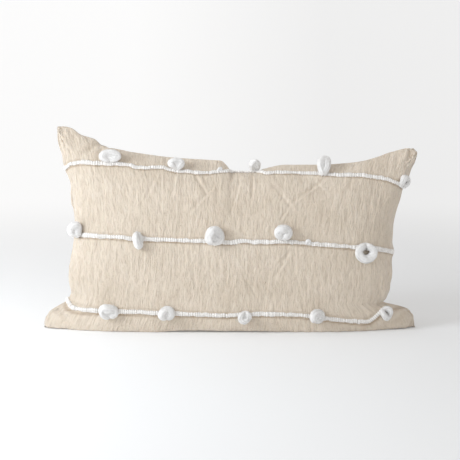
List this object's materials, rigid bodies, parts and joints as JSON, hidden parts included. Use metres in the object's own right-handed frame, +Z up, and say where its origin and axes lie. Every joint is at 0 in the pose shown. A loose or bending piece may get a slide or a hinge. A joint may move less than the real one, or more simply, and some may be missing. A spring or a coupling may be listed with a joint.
{
  "type": "lumbar throw pillow",
  "caption": "Rectangular stuffed lumbar cushion with pointed corners, looped yarn stripes woven across the front and a zip in the bottom seam.",
  "frame": {"origin": "middle of the footprint, on the surface that the pillow stands on", "axes": "+X along the pillow, to the right as seen from the decorated front; the front faces -Y; +Z up"},
  "size_m": [0.639, 0.1621, 0.349],
  "materials": {
    "cover_cloth": "crinkled hand-woven cotton, warm cream",
    "stripe_yarn": "thick ribbed slub cotton yarn, white",
    "roving": "soft unspun cotton roving, white",
    "insert_liner": "plain non-woven, white",
    "fibre_fill": "loose polyester fibre, white",
    "zip_tape": "woven polyester tape, cream",
    "zip_coil": "nylon coil, cream",
    "zip_metal": "plated die-cast metal"
  },
  "bodies": {
    "pillow": {"front_panel": "cover_cloth", "back_panel": "cover_cloth", "stripe_yarn_top": "stripe_yarn", "stripe_yarn_middle": "stripe_yarn", "stripe_yarn_bottom": "stripe_yarn", "loop_top_1": "roving", "loop_top_2": "roving", "loop_top_3": "roving", "loop_top_4": "roving", "loop_top_5": "roving", "loop_middle_1": "roving", "loop_middle_2": "roving", "loop_middle_3": "roving", "loop_middle_4": "roving", "loop_middle_5": "roving", "loop_bottom_1": "roving", "loop_bottom_2": "roving", "loop_bottom_3": "roving", "loop_bottom_4": "roving", "loop_bottom_5": "roving", "knot_top": "roving", "knot_middle": "roving", "insert_front_liner": "insert_liner", "insert_back_liner": "insert_liner", "insert_fibre_fill": "fibre_fill", "zip_tape_front": "zip_tape", "zip_tape_back": "zip_tape", "zip_coil_front": "zip_coil", "zip_coil_back": "zip_coil", "zip_top_stops": "zip_metal", "zip_bottom_stop": "zip_metal"},
    "zip_slider": {"zip_slider": "zip_metal"},
    "pull_tab": {"zip_pull_tab": "zip_metal"}
  },
  "joints": [
    {"name": "zip_slide", "type": "slide", "parent": "pillow", "child": "zip_slider", "axis": [-1, 0, 0], "range_m": [0, 0.436]},
    {"name": "pull_tab_hinge", "type": "hinge", "parent": "zip_slider", "child": "pull_tab", "pos_m": [0.218, 0.005, 0.0043], "axis": [0, -1, 0], "range_deg": [0, 175]}
  ]
}
